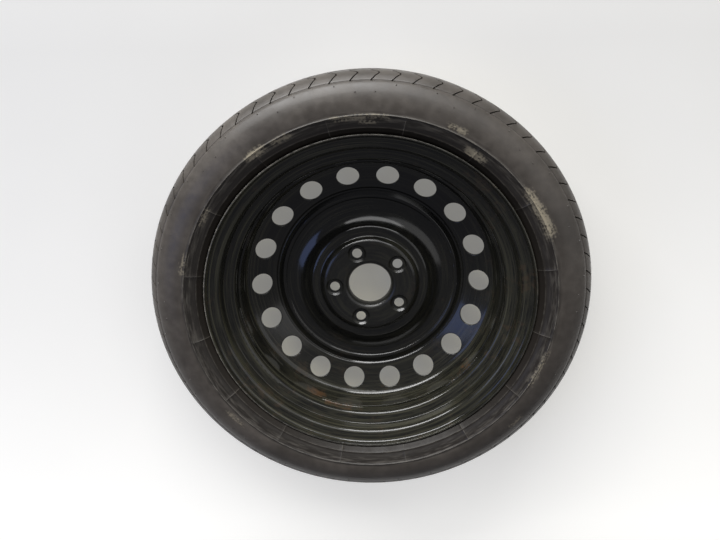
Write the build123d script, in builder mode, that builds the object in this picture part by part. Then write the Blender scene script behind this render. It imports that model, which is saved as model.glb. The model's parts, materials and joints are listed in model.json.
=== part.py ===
"""Space saver spare wheel: a pressed steel wheel, its narrow tyre and its snap-in valve.

The wheel's axis is Z. The origin is the centre of the face that bolts to the hub, and +Z
points inboard, towards the car. The wheel lies flat on its outboard side.
"""

import os
from math import cos, radians, sin, sqrt, tan

from build123d import *

os.makedirs("parts", exist_ok=True)

# Most of a straight run that the bends at its two ends may take up
bend_share = 0.95

# Hub fitting
bore_radius = 32.55
bore_wall = 6.0
bore_bend = 5.2
bolt_circle = 108.0
bolt_count = 5
bolt_vent_gap = 5
bolt_hole = 15.0
seat_dish_radius = 14.0
seat_dish_depth = 3.0
seat_dish_taper = 3.0
seat_boss_wall = 1.9
seat_cone_depth = 2.2
seat_cone_spread = 3.0

# Pressed disc
disc_sheet = 3.8
nave_radius = 70.0
nave_bend = 8.2
nave_step = 8.0
nave_slope = 50.0
land_bend = 5.0
hat_radius = 89.5
hat_fall = 1.3
hat_bend = 6.2
hat_slope = 42.0
dish_depth = 15.1
dish_bend = 50.0
bead_foot_inset = 63.0
bead_foot_drop = 1.6
bead_foot_bend = 2.6
bead_crest_inset = 59.6
bead_rise = 3.7
bead_crest_bend = 0.8
valley_inset = 48.5
valley_drop = 5.1
valley_bend = 2.0
riser_inset = 45.9
riser_rise = 3.0
riser_bend = 1.5
cone_slope = 27.8
skirt_bend = 16.0
skirt_setback = 11.5
vent_inset = 25.4
vent_hole = 33.5
vent_edge = 0.8
vent_count = 18
sheet_edge = 0.6

# Rim
rim_sheet = 2.8
rim_width = 101.6
rim_offset = 16.0
seat_radius = 218.3
seat_width = 19.3
seat_taper = 5.0
heel_bend = 6.5
flange_straight = 1.3
flange_bend = 9.5
flange_lip = 2.2
lip_edge = 1.0
well_depth = 18.3
well_bend = 5.0
shelf_bend = 2.5
inboard_wall_run = 5.0
outboard_wall_run = 16.6

# Welds between disc and rim
weld_count = 6
weld_arc = 20.0
weld_start = -44.0
weld_leg = 3.6
weld_crown = 0.6

# Tyre
crown_rise = 47.5
section_width = 150.0
tread_width = 121.0
crown_width = 92.0
crown_drop = 2.0
liner_drop = 1.0
shoulder_drop = 11.5
shoulder_bulge = 1.2
sidewall_rise = 32.4
flange_wrap = 70.0
bead_clearance = 0.2
bead_width = 14.5
bead_neck = 10.0
bead_rise_inside = 15.0
tread_thickness = 11.0
sidewall_thickness = 6.0
groove_count = 3
groove_spacing = 26.0
groove_width = 5.0
groove_depth = 4.0
sipe_count = 72
sipe_width = 1.5
sipe_depth = 3.0
sipe_swing = 8.5
rib_radius = 1.3
lower_rib_rise = 8.4
upper_rib_rise = 24.4

# Snap-in valve, measured from the tyre side of the rim's wall
valve_hole_radius = 5.65
valve_foot_radius = 7.8
valve_foot = 5.5
valve_collar_radius = 7.2
valve_collar = 3.0
valve_shoulder = 6.0
valve_neck_radius = 5.0
valve_rubber_length = 24.0
stem_shank_radius = 3.0
stem_thread_radius = 3.85
stem_thread_length = 9.5
stem_start = 1.5
air_bore_radius = 1.7
core_bore_radius = 2.6

# Valve core
core_plug_length = 4.5
core_plug_drop = 2.0
core_barrel_radius = 1.5
core_barrel_length = 12.0
core_barrel_bore = 1.15
core_guide_radius = 0.7
core_guide_length = 1.5
core_seal_width = 1.6
pin_radius = 0.5
pin_drop = 0.6
pin_collar_radius = 0.95
pin_collar_length = 0.8
cup_radius = 1.45
cup_length = 1.6
core_clearance = 0.05
spring_wire = 0.22
spring_turns = 6

# Valve cap
cap_radius = 5.0
cap_wall = 1.1
cap_skirt = 7.5
cap_bevel = 0.55
cap_clearance = 0.1
cap_seal_thickness = 1.0
cap_flute_count = 12
cap_flute_radius = 0.6
cap_flute_depth = 0.4
cap_flute_drop = 1.5


def section_plane(angle):
    """Half plane through the wheel's axis: local x is the radius and local y is +Z."""
    turn = radians(angle)
    return Plane(
        origin=(0, 0, 0),
        x_dir=(cos(turn), sin(turn), 0),
        z_dir=(sin(turn), -cos(turn), 0),
    )


def fitted_bends(path, bends):
    """Bend radii along a path, each made smaller where its two runs have no room for it."""
    runs = [Vector(b) - Vector(a) for a, b in zip(path, path[1:])]
    turns = [radians(a.get_angle(b)) for a, b in zip(runs, runs[1:])]
    tangents = [0] + [bend * tan(turn / 2) for bend, turn in zip(bends, turns)] + [0]
    room = [min(1, bend_share * r.length / (a + b)) for r, a, b in zip(runs, tangents, tangents[1:])]
    return [bend * min(a, b) for bend, a, b in zip(bends, room, room[1:])]


# Rim stations, as radius and height above the hub face
half_width = rim_width / 2
flange_radius = seat_radius + heel_bend + flange_straight + flange_bend
lip_reach = half_width + flange_bend + flange_lip
shelf_radius = seat_radius - seat_width * tan(radians(seat_taper))
shelf_reach = half_width - seat_width
well_radius = seat_radius - well_depth
well_top = rim_offset + shelf_reach - inboard_wall_run
well_bottom = rim_offset - shelf_reach + outboard_wall_run

rim_path = [
    (flange_radius, rim_offset + lip_reach),
    (flange_radius, rim_offset + half_width),
    (seat_radius, rim_offset + half_width),
    (shelf_radius, rim_offset + shelf_reach),
    (well_radius, well_top),
    (well_radius, well_bottom),
    (shelf_radius, rim_offset - shelf_reach),
    (seat_radius, rim_offset - half_width),
    (flange_radius, rim_offset - half_width),
    (flange_radius, rim_offset - lip_reach),
]
shelf_outer_bend = shelf_bend + rim_sheet
rim_bends = [
    flange_bend,
    heel_bend,
    shelf_outer_bend,
    well_bend,
    well_bend,
    shelf_outer_bend,
    heel_bend,
    flange_bend,
]

# The valve stands square on the outboard wall of the well, midway between two vents
vent_pitch = 360 / vent_count
valve_angle = vent_pitch / 2
wall_fall = well_bottom - (rim_offset - shelf_reach)
wall_rise = shelf_radius - well_radius
wall_length = sqrt(wall_fall**2 + wall_rise**2)
outward_radial = -wall_fall / wall_length
outward_axial = -wall_rise / wall_length
valve_turn = radians(valve_angle)
valve_radius = (well_radius + shelf_radius) / 2
valve_height = well_bottom - wall_fall / 2
valve_axis = Vector(
    outward_radial * cos(valve_turn),
    outward_radial * sin(valve_turn),
    outward_axial,
)
valve_side = Vector(
    -outward_axial * cos(valve_turn),
    -outward_axial * sin(valve_turn),
    outward_radial,
)
valve_plane = Plane(
    origin=(valve_radius * cos(valve_turn), valve_radius * sin(valve_turn), valve_height),
    x_dir=valve_side,
    z_dir=valve_side.cross(valve_axis),
)
valve_line = Axis(valve_plane.origin, valve_axis)
valve_frame = Plane(origin=valve_plane.origin, x_dir=valve_side, z_dir=valve_axis)

# Rim: one rolled strip with a drop centre, pierced for the valve
with BuildPart() as rim:
    with BuildSketch(section_plane(0)):
        with BuildLine():
            FilletPolyline(*rim_path, radius=fitted_bends(rim_path, rim_bends))
            offset(amount=rim_sheet, side=Side.RIGHT)
        make_face()
        lips = vertices().group_by(Axis.Y)
        fillet(lips[0] + lips[-1], lip_edge)
    revolve(axis=Axis.Z)
    with BuildSketch(valve_frame):
        Circle(valve_hole_radius)
    extrude(amount=wall_length, both=True, mode=Mode.SUBTRACT)
rim.part.label = "rim"
export_step(rim.part, "parts/rim.step")

# Disc stations on its inboard face
skirt_radius = well_radius - rim_sheet
skirt_inside = skirt_radius - disc_sheet
skirt_end = well_top - skirt_setback
land_radius = nave_radius + nave_step / tan(radians(nave_slope))
hat_height = -nave_step - hat_fall
dish_radius = hat_radius + dish_depth / tan(radians(hat_slope))
dish_height = hat_height - dish_depth
bead_foot_radius = skirt_inside - bead_foot_inset
bead_foot_height = dish_height - bead_foot_drop
bead_crest_radius = skirt_inside - bead_crest_inset
bead_crest_height = bead_foot_height + bead_rise
valley_radius = skirt_inside - valley_inset
valley_height = bead_crest_height - valley_drop
riser_radius = skirt_inside - riser_inset
riser_height = valley_height + riser_rise
cone_end = riser_height + riser_inset * tan(radians(cone_slope))
vent_radius = skirt_inside - vent_inset
vent_height = cone_end - vent_inset * tan(radians(cone_slope))
bore_face_bend = bore_bend + disc_sheet
bore_end = -bore_face_bend - bore_wall

disc_path = [
    (bore_radius, bore_end),
    (bore_radius, 0),
    (nave_radius, 0),
    (land_radius, -nave_step),
    (hat_radius, hat_height),
    (dish_radius, dish_height),
    (bead_foot_radius, bead_foot_height),
    (bead_crest_radius, bead_crest_height),
    (valley_radius, valley_height),
    (riser_radius, riser_height),
    (skirt_inside, cone_end),
    (skirt_inside, skirt_end),
]
disc_bends = [
    bore_face_bend,
    nave_bend + disc_sheet,
    land_bend,
    hat_bend + disc_sheet,
    dish_bend,
    bead_foot_bend,
    bead_crest_bend + disc_sheet,
    valley_bend,
    riser_bend + disc_sheet,
    skirt_bend,
]
bolt_start = bolt_vent_gap * vent_pitch + vent_pitch / 2
bolt_ring = bolt_circle / 2
seat_floor_radius = seat_dish_radius - seat_dish_taper
seat_boss_height = -disc_sheet - seat_dish_depth

# Disc: one pressing, with vents punched square to its cone and domed bolt seats
with BuildPart() as wheel_disc:
    with BuildSketch(section_plane(0)):
        with BuildLine():
            FilletPolyline(*disc_path, radius=fitted_bends(disc_path, disc_bends))
            offset(amount=disc_sheet, side=Side.RIGHT)
        make_face()
        fillet(vertices().group_by(Axis.Y)[-1], sheet_edge)
    revolve(axis=Axis.Z)
    with PolarLocations(bolt_ring, bolt_count, start_angle=bolt_start):
        with Locations((0, 0, seat_boss_height)):
            Cone(
                seat_floor_radius + seat_boss_wall,
                seat_dish_radius + seat_boss_wall,
                seat_dish_depth,
                align=(Align.CENTER, Align.CENTER, Align.MIN),
            )
        with Locations((0, 0, -seat_dish_depth)):
            Cone(
                seat_floor_radius,
                seat_dish_radius,
                seat_dish_depth,
                align=(Align.CENTER, Align.CENTER, Align.MIN),
                mode=Mode.SUBTRACT,
            )
        with Locations((0, 0, seat_boss_height)):
            Cylinder(
                bolt_hole / 2,
                disc_sheet + seat_dish_depth,
                align=(Align.CENTER, Align.CENTER, Align.MIN),
                mode=Mode.SUBTRACT,
            )
            Cone(
                bolt_hole / 2 + seat_cone_spread,
                bolt_hole / 2,
                seat_cone_depth,
                align=(Align.CENTER, Align.CENTER, Align.MIN),
                mode=Mode.SUBTRACT,
            )
    with PolarLocations(vent_radius, vent_count):
        with Locations(Location((0, 0, vent_height), (0, -cone_slope, 0))):
            Cylinder(vent_hole / 2, vent_hole, mode=Mode.SUBTRACT)
    punched = faces().filter_by(GeomType.CYLINDER)
    vents = punched.filter_by(lambda face: abs(face.radius - vent_hole / 2) < vent_edge)
    fillet(vents.edges().filter_by(lambda edge: edge.is_closed), vent_edge)
wheel_disc.part.label = "wheel_disc"
export_step(wheel_disc.part, "parts/wheel_disc.step")

# Welds: short fillet runs between the end of the disc's skirt and the rim's well
with BuildPart() as disc_welds:
    for run in range(weld_count):
        with BuildSketch(section_plane(weld_start - weld_arc / 2 + run * 360 / weld_count)):
            with BuildLine():
                Polyline(
                    (skirt_radius - weld_leg, skirt_end),
                    (skirt_radius, skirt_end),
                    (skirt_radius, skirt_end + weld_leg),
                )
                SagittaArc(
                    (skirt_radius - weld_leg, skirt_end),
                    (skirt_radius, skirt_end + weld_leg),
                    weld_crown,
                )
            make_face()
        revolve(axis=Axis.Z, revolution_arc=weld_arc)
disc_welds.part.label = "disc_welds"
export_step(disc_welds.part, "parts/disc_welds.step")

# Tyre stations for its inboard half, as radius and distance from the rim's centre plane
widest_radius = flange_radius + sidewall_rise
tyre_radius = widest_radius + crown_rise
half_section = section_width / 2
half_tread = tread_width / 2
half_crown = crown_width / 2
bend_centre = (flange_radius - flange_bend, half_width + flange_bend)
wrap_radius = flange_bend + bead_clearance


def wrapped(angle):
    """Point on the tyre where it lies round the rim's flange, from the flange's inner face."""
    turn = radians(angle)
    return (
        bend_centre[0] + wrap_radius * sin(turn),
        bend_centre[1] - wrap_radius * cos(turn),
    )


toe = (
    seat_radius + bead_clearance - bead_width * tan(radians(seat_taper)),
    half_width - bead_width,
)
heel = (seat_radius + bead_clearance, half_width - bead_clearance)
widest = (widest_radius, half_section)
shoulder = (tyre_radius - shoulder_drop, half_tread)
crown_edge = (tyre_radius - crown_drop, half_crown)
crown_inside = (tyre_radius - tread_thickness - liner_drop, half_crown)
widest_inside = (widest_radius, half_section - sidewall_thickness)
neck_inside = (seat_radius + bead_rise_inside, half_width - bead_neck)


def tyre_outside(side):
    """Outside of one half of the tyre, from its toe to the edge of its crown."""

    def at(point):
        return (point[0], rim_offset + side * point[1])

    heel_round = FilletPolyline(
        at(toe), at(heel), at(wrapped(0)), radius=heel_bend - bead_clearance
    )
    ThreePointArc(heel_round @ 1, at(wrapped(flange_wrap / 2)), at(wrapped(flange_wrap)))
    TangentArc(at(widest), at(wrapped(flange_wrap)), tangent=(-1, 0))
    TangentArc(at(widest), at(shoulder), tangent=(1, 0))
    middle = (
        (shoulder[0] + crown_edge[0]) / 2 + shoulder_bulge,
        (shoulder[1] + crown_edge[1]) / 2 + shoulder_bulge,
    )
    ThreePointArc(at(shoulder), at(middle), at(crown_edge))


def tyre_inside(side):
    """Inside of one half of the tyre, from the edge of its crown to its toe."""

    def at(point):
        return (point[0], rim_offset + side * point[1])

    TangentArc(at(widest_inside), at(crown_inside), tangent=(1, 0))
    TangentArc(at(widest_inside), at(neck_inside), tangent=(-1, 0))
    Line(at(neck_inside), at(toe))


def sidewall_reach(radius):
    """Distance of the lower sidewall's outside from the rim's centre plane at a radius."""
    foot = wrapped(flange_wrap)
    drop = widest_radius - foot[0]
    inset = half_section - foot[1]
    curve = (inset**2 + drop**2) / (2 * inset)
    return half_section - curve + sqrt(curve**2 - (widest_radius - radius) ** 2)


# Sipes of one pitch of the tread: a zigzag slit in each shoulder, from its edge to a groove
sipe_start = half_tread + sipe_width
sipe_end = groove_spacing * (groove_count - 1) / 2
sipe_apex = (half_tread + half_crown) / 2
with BuildPart() as sipes:
    for side in (1, -1):
        tread_plane = Plane(
            origin=(tyre_radius + sipe_width, 0, rim_offset),
            x_dir=(0, -side, 0),
            z_dir=(-side, 0, 0),
        )
        with BuildSketch(tread_plane):
            with BuildLine():
                Polyline(
                    (0, side * sipe_start),
                    (sipe_swing, side * sipe_apex),
                    (0, side * half_crown),
                    (sipe_swing, side * sipe_end),
                )
            trace(line_width=sipe_width)
        extrude(amount=side * (shoulder_drop + sipe_depth + sipe_width))
    with BuildSketch(section_plane(0)):
        for side in (1, -1):
            with BuildLine():
                Polyline(
                    (tyre_radius - sipe_depth, rim_offset),
                    (crown_edge[0] - sipe_depth, rim_offset + side * half_crown),
                    (shoulder[0] - sipe_depth, rim_offset + side * (half_tread + sipe_depth)),
                    (tyre_radius + 2 * sipe_width, rim_offset + side * (half_tread + sipe_depth)),
                    (tyre_radius + 2 * sipe_width, rim_offset),
                    close=True,
                )
            make_face()
    revolve(axis=Axis.Z, mode=Mode.INTERSECT)

# Tyre: one moulding, open to the rim, with ring grooves in its tread and ribs on its walls
with BuildPart() as tyre:
    with BuildSketch(section_plane(0)):
        with BuildLine():
            for side in (1, -1):
                tyre_outside(side)
                tyre_inside(side)
            ThreePointArc(
                (crown_edge[0], rim_offset + half_crown),
                (tyre_radius, rim_offset),
                (crown_edge[0], rim_offset - half_crown),
            )
            ThreePointArc(
                (crown_inside[0], rim_offset + half_crown),
                (tyre_radius - tread_thickness, rim_offset),
                (crown_inside[0], rim_offset - half_crown),
            )
        make_face()
        for side in (1, -1):
            for rise in (lower_rib_rise, upper_rib_rise):
                rib_at = flange_radius + rise
                with Locations((rib_at, rim_offset + side * sidewall_reach(rib_at))):
                    Circle(rib_radius)
        for groove in range(groove_count):
            across = (groove - (groove_count - 1) / 2) * groove_spacing
            with Locations((tyre_radius, rim_offset + across)):
                Rectangle(2 * groove_depth, groove_width, mode=Mode.SUBTRACT)
    revolve(axis=Axis.Z)
    with PolarLocations(0, sipe_count):
        add(sipes.part, mode=Mode.SUBTRACT)
tyre.part.label = "tyre"
export_step(tyre.part, "parts/tyre.step")

# Valve stations along its own axis
stem_end = valve_rubber_length + stem_thread_length
plug_top = stem_end - core_plug_drop
plug_foot = plug_top - core_plug_length
seal_foot = plug_foot - core_seal_width
seal_shoulder = seal_foot + core_bore_radius - air_bore_radius
barrel_end = plug_top - core_barrel_length
pin_top = stem_end - pin_drop
guide_top = barrel_end + core_guide_length
collar_foot = plug_top - pin_collar_length
cup_top = barrel_end - core_clearance
# The collar stands off the rim's curved wall by the height of the wall's arc across it
collar_foot_height = rim_sheet + valve_collar_radius**2 / (2 * (well_radius - rim_sheet))


def valve_section(outline):
    """Section of a piece turned about the valve's axis, from its outline as radius and station."""
    with BuildSketch(valve_plane) as section:
        with BuildLine():
            Polyline(*outline, close=True)
        make_face()
    return section.sketch


# Rubber body, pulled through the rim's hole and held by its foot and collar
with BuildPart() as valve_body:
    section = valve_section(
        [
            (air_bore_radius, -valve_foot),
            (valve_foot_radius, -valve_foot),
            (valve_foot_radius, 0),
            (valve_hole_radius, 0),
            (valve_hole_radius, collar_foot_height),
            (valve_collar_radius, collar_foot_height),
            (valve_collar_radius, collar_foot_height + valve_collar),
            (valve_neck_radius, collar_foot_height + valve_collar + valve_shoulder),
            (valve_neck_radius, valve_rubber_length),
            (stem_shank_radius, valve_rubber_length),
            (stem_shank_radius, stem_start),
            (air_bore_radius, stem_start),
        ]
    )
    revolve(section, axis=valve_line)
valve_body.part.label = "valve_body"
export_step(valve_body.part, "parts/valve_body.step")

# Brass stem, moulded into the rubber, with its outer end bare for the cap
with BuildPart() as valve_stem:
    section = valve_section(
        [
            (air_bore_radius, stem_start),
            (stem_shank_radius, stem_start),
            (stem_shank_radius, valve_rubber_length),
            (stem_thread_radius, valve_rubber_length),
            (stem_thread_radius, stem_end),
            (core_bore_radius, stem_end),
            (core_bore_radius, seal_shoulder),
            (air_bore_radius, seal_foot),
        ]
    )
    revolve(section, axis=valve_line)
valve_stem.part.label = "valve_stem"
export_step(valve_stem.part, "parts/valve_stem.step")

# Core plug: a threaded head and the barrel that holds the pin and its spring
with BuildPart() as valve_core_plug:
    section = valve_section(
        [
            (core_barrel_bore, plug_top),
            (core_bore_radius, plug_top),
            (core_bore_radius, plug_foot),
            (core_barrel_radius, plug_foot),
            (core_barrel_radius, barrel_end),
            (core_guide_radius, barrel_end),
            (core_guide_radius, guide_top),
            (core_barrel_bore, guide_top),
        ]
    )
    revolve(section, axis=valve_line)
valve_core_plug.part.label = "valve_core_plug"
export_step(valve_core_plug.part, "parts/valve_core_plug.step")

# Core seal: the ring that closes the barrel against the taper in the stem
with BuildPart() as valve_core_seal:
    section = valve_section(
        [
            (core_barrel_radius, plug_foot),
            (core_bore_radius, plug_foot),
            (core_bore_radius, seal_shoulder),
            (air_bore_radius, seal_foot),
            (core_barrel_radius, seal_foot),
        ]
    )
    revolve(section, axis=valve_line)
valve_core_seal.part.label = "valve_core_seal"
export_step(valve_core_seal.part, "parts/valve_core_seal.step")

# Core pin, with the collar that its spring pushes outwards
with BuildPart() as valve_core_pin:
    section = valve_section(
        [
            (0, cup_top - cup_length),
            (pin_radius, cup_top - cup_length),
            (pin_radius, collar_foot),
            (pin_collar_radius, collar_foot),
            (pin_collar_radius, plug_top),
            (pin_radius, plug_top),
            (pin_radius, pin_top),
            (0, pin_top),
        ]
    )
    revolve(section, axis=valve_line)
valve_core_pin.part.label = "valve_core_pin"
export_step(valve_core_pin.part, "parts/valve_core_pin.step")

# Core cup: closes the inner end of the barrel and is pressed on the pin
with BuildPart() as valve_core_cup:
    section = valve_section(
        [
            (pin_radius, cup_top - cup_length),
            (cup_radius, cup_top - cup_length),
            (cup_radius, cup_top),
            (pin_radius, cup_top),
        ]
    )
    revolve(section, axis=valve_line)
valve_core_cup.part.label = "valve_core_cup"
export_step(valve_core_cup.part, "parts/valve_core_cup.step")

# Core spring, between the barrel's guide and the pin's collar
spring_radius = (core_barrel_bore + pin_radius) / 2
spring_height = collar_foot - guide_top - spring_wire
spring_foot = valve_frame.offset(guide_top + spring_wire / 2).origin
with BuildPart() as valve_core_spring:
    with BuildLine():
        coil = Helix(
            spring_height / spring_turns,
            spring_height,
            spring_radius,
            center=spring_foot,
            direction=valve_axis,
        )
    with BuildSketch(Plane(origin=coil @ 0, z_dir=coil % 0)):
        Circle(spring_wire / 2)
    sweep(path=coil, is_frenet=True)
valve_core_spring.part.label = "valve_core_spring"
export_step(valve_core_spring.part, "parts/valve_core_spring.step")

# Valve cap, fluted for the fingers
cap_inside = stem_thread_radius + cap_clearance
cap_ceiling = stem_end + cap_seal_thickness
cap_top = cap_ceiling + cap_wall
cap_foot = stem_end - cap_skirt
with BuildPart() as valve_cap:
    section = valve_section(
        [
            (0, cap_ceiling),
            (cap_inside, cap_ceiling),
            (cap_inside, cap_foot),
            (cap_radius, cap_foot),
            (cap_radius, cap_top - cap_bevel),
            (cap_radius - cap_bevel, cap_top),
            (0, cap_top),
        ]
    )
    revolve(section, axis=valve_line)
    with BuildSketch(valve_frame.offset(cap_foot + cap_flute_drop)):
        with PolarLocations(cap_radius + cap_flute_radius - cap_flute_depth, cap_flute_count):
            Circle(cap_flute_radius)
    extrude(amount=cap_top - cap_foot, mode=Mode.SUBTRACT)
valve_cap.part.label = "valve_cap"
export_step(valve_cap.part, "parts/valve_cap.step")

# Cap seal, the rubber disc that the stem's end presses on
with BuildPart() as valve_cap_seal:
    with BuildSketch(valve_frame.offset(stem_end)):
        Circle(cap_inside - cap_clearance)
    extrude(amount=cap_seal_thickness)
valve_cap_seal.part.label = "valve_cap_seal"
export_step(valve_cap_seal.part, "parts/valve_cap_seal.step")
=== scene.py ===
"""Space saver spare wheel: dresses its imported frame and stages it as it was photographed."""

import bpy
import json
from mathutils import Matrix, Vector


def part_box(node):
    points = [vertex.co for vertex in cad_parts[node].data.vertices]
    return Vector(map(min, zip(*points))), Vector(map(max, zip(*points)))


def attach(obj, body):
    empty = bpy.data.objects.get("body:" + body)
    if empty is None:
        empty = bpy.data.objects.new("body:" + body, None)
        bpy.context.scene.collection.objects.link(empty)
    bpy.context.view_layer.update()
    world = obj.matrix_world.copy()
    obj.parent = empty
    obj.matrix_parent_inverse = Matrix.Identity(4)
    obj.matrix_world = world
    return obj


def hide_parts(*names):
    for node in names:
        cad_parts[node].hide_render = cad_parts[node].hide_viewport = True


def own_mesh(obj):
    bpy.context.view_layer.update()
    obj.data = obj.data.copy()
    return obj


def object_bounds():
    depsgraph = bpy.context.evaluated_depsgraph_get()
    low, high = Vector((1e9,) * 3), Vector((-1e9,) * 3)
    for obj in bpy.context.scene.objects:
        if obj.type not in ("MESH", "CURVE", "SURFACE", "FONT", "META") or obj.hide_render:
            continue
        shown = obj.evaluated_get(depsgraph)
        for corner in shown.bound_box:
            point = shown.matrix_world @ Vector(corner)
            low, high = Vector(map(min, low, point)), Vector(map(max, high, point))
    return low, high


bl_info = {
    "name": "Space saver spare wheel",
    "version": (1, 0, 0),
    "blender": (4, 5, 0),
    "location": "3D View > Sidebar > Spare wheel",
    "description": "Models the moulded tyre, welds, valve and finishes of a temporary spare wheel",
    "category": "Add Mesh",
}

import json
import random
from functools import partial
from math import atan2, cos, pi, radians, sin, sqrt

import bpy
import numpy as np
from mathutils import Matrix, Vector

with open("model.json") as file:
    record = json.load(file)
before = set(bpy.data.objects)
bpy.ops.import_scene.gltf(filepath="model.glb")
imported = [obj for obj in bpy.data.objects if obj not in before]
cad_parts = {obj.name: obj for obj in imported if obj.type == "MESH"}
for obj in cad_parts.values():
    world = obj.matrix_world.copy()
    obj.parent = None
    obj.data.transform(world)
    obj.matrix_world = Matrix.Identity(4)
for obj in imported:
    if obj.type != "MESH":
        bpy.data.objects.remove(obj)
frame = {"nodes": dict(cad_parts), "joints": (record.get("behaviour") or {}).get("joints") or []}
cad_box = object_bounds()

MM = 0.001
# Sockets of a colour Mix node
MIX_A = 6
MIX_B = 7
MIX_COLOUR = 2
# A Map Range node takes a value, its low and its high, and what those become: this eases it
EASED = {"interpolation_type": "SMOOTHSTEP"}
# One eighth of the tyre repeats: nine sipes a side, two radial lines and two rows of mould nubs
SECTORS = 8
PITCHES = 9
PITCH_COLUMNS = 8
RADIAL_LINES = (18, 54)
# The slits run a little way over the shoulder's edge, so that they notch the tyre's outline
SIPE_OVERRUN = 3 * MM
# Distance below the shoulder of each ring of nubs, and the columns that they stand on
NUB_COLUMNS = {7 * MM: (12, 28, 44, 60), 16 * MM: (4, 36, 68)}
NUB_SPREAD = 0.8 * MM


def linear(hex_colour):
    """Linear colour, with full alpha, of an sRGB hex value."""
    colour = []
    for start in (1, 3, 5):
        level = int(hex_colour[start:start + 2], 16) / 255
        colour.append(level / 12.92 if level <= 0.04045 else ((level + 0.055) / 1.055) ** 2.4)
    return (*colour, 1.0)


def size_property(name, description, default_mm):
    """A length that a user may change, given in millimetres."""
    return bpy.props.FloatProperty(
        name=name, description=description, default=default_mm * MM, min=0.0, unit="LENGTH"
    )


def colour_property(name, description, default_hex):
    """A colour that a user may change, given as an sRGB hex value."""
    return bpy.props.FloatVectorProperty(
        name=name,
        description=description,
        default=linear(default_hex),
        size=4,
        min=0.0,
        max=1.0,
        subtype="COLOR",
    )


class SPARE_PG_tyre(bpy.types.PropertyGroup):
    """Sizes and colours of the tyre"""

    section_width: size_property("Section width", "Width across both sidewalls", 150.0)
    tread_width: size_property("Tread width", "Width between the two shoulder edges", 121.0)
    crown_width: size_property("Crown width", "Width of the nearly flat part of the tread", 92.0)
    crown_drop: size_property("Crown drop", "Fall of the tread to the crown's edge", 2.0)
    shoulder_drop: size_property("Shoulder drop", "Fall of the tread to its shoulder", 11.5)
    sidewall_rise: size_property("Sidewall rise", "From the flange to the widest place", 32.4)
    groove_spacing: size_property("Groove spacing", "Between the tread's ring grooves", 26.0)
    groove_width: size_property("Groove width", "Width of a ring groove", 5.0)
    groove_depth: size_property("Groove depth", "Depth of a ring groove", 4.0)
    sipe_width: size_property("Sipe width", "Width of a zigzag slit in the shoulder", 2.1)
    sipe_depth: size_property("Sipe depth", "Depth of a zigzag slit in the shoulder", 4.0)
    sipe_swing: size_property("Sipe swing", "How far a slit swings along the tread", 12.0)
    lower_rib_rise: size_property("Lower rib rise", "From the flange to the bead rib", 8.4)
    upper_rib_rise: size_property("Upper rib rise", "From the flange to the sidewall rib", 24.4)
    rib_height: size_property("Rib height", "How far a ring rib stands out", 1.2)
    nub_height: size_property("Nub height", "How far a mould vent nub stands out", 1.3)
    rubber: colour_property("Rubber", "Carbon black rubber where it is clean", "#25211c")
    bloom: colour_property("Bloom", "Grey film on the aged sidewall", "#59534c")
    dust: colour_property("Dust", "Dry dust on raised lines", "#8b857a")
    dirt: colour_property("Dirt", "Pale dried mud", "#958c78")


class SPARE_PG_steel(bpy.types.PropertyGroup):
    """Colours of the steel wheel and sizes of its welds"""

    weld_leg: size_property("Weld leg", "Leg of the fillet weld between disc and rim", 3.6)
    weld_ripple: size_property("Weld ripple", "Spacing of the ripples on a weld run", 4.2)
    paint: colour_property("Paint", "Black dip paint", "#131312")
    dust: colour_property("Road dust", "Olive road dust on the rim", "#5c5a48")
    stain: colour_property("Stain", "Brown stains of old water", "#4a3a2b")
    rust: colour_property("Rust", "Rust that breaks through at the welds", "#5e432d")
    # Pale colour of the lip: partly scuffed paint, partly a painted highlight along its edge
    lip_wear_and_highlight: colour_property("Worn lip", "Scuffed paint on the rim's lip", "#9a958a")


class SPARE_PG_valve(bpy.types.PropertyGroup):
    """Sizes and colours of the valve"""

    thread_pitch: size_property("Thread pitch", "Pitch of the thread that the cap runs on", 0.794)
    thread_depth: size_property("Thread depth", "Depth of that thread", 0.45)
    ring_depth: size_property("Ring depth", "Depth of the rings round the rubber neck", 0.4)
    rubber: colour_property("Valve rubber", "Rubber of the snap-in body", "#1c1b1a")
    brass: colour_property("Brass", "Turned brass of the stem", "#a98a4e")
    cap: colour_property("Cap", "Moulded nylon cap", "#161617")
    seal: colour_property("Seal", "Fluoropolymer ring of the core", "#d8d3c6")
    spring: colour_property("Spring", "Drawn steel wire", "#8f9092")


class SPARE_PG_stage(bpy.types.PropertyGroup):
    """The floor, the lamps and the camera"""

    floor: colour_property("Floor", "Pale matt floor", "#deddd9")
    # Painted shade: the warm shadow tint of the floor under the wheel
    shadow_tint: colour_property("Sheltered floor", "Floor under the wheel", "#dbd3b0")
    backdrop: colour_property("Backdrop", "What the camera sees behind the floor", "#e4e3df")
    window: colour_property("Window", "Cool daylight of the window lamp", "#8fa6e6")
    key_power: bpy.props.FloatProperty(
        name="Key lamp",
        description="Power of the overhead lamp",
        default=205.0,
        min=0.0,
        unit="POWER",
    )
    lens: bpy.props.FloatProperty(
        name="Lens", description="Focal length in millimetres", default=29.1, min=1.0
    )


def add_node(tree, kind, inputs, output=0, **settings):
    """Add a node with its settings, link or set inputs by name or in order, and give one output."""
    made = tree.nodes.new("ShaderNode" + kind)
    for name, value in settings.items():
        setattr(made, name, value)
    for key, value in inputs.items() if isinstance(inputs, dict) else enumerate(inputs):
        if isinstance(value, bpy.types.NodeSocket):
            tree.links.new(value, made.inputs[key])
        else:
            made.inputs[key].default_value = value
    return made.outputs[output] if made.outputs else None


def begin_finish(name):
    """A new material, what adds a node to it, and the piece's own coordinates in metres."""
    finish = bpy.data.materials.new(name)
    finish.use_nodes = True
    finish.node_tree.nodes.clear()
    node = partial(add_node, finish.node_tree)
    return finish, node, node("TexCoord", {}, "Object")


def end_finish(node, inputs):
    """Close a material with its shader and its output."""
    node("OutputMaterial", {"Surface": node("BsdfPrincipled", inputs)})


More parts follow.
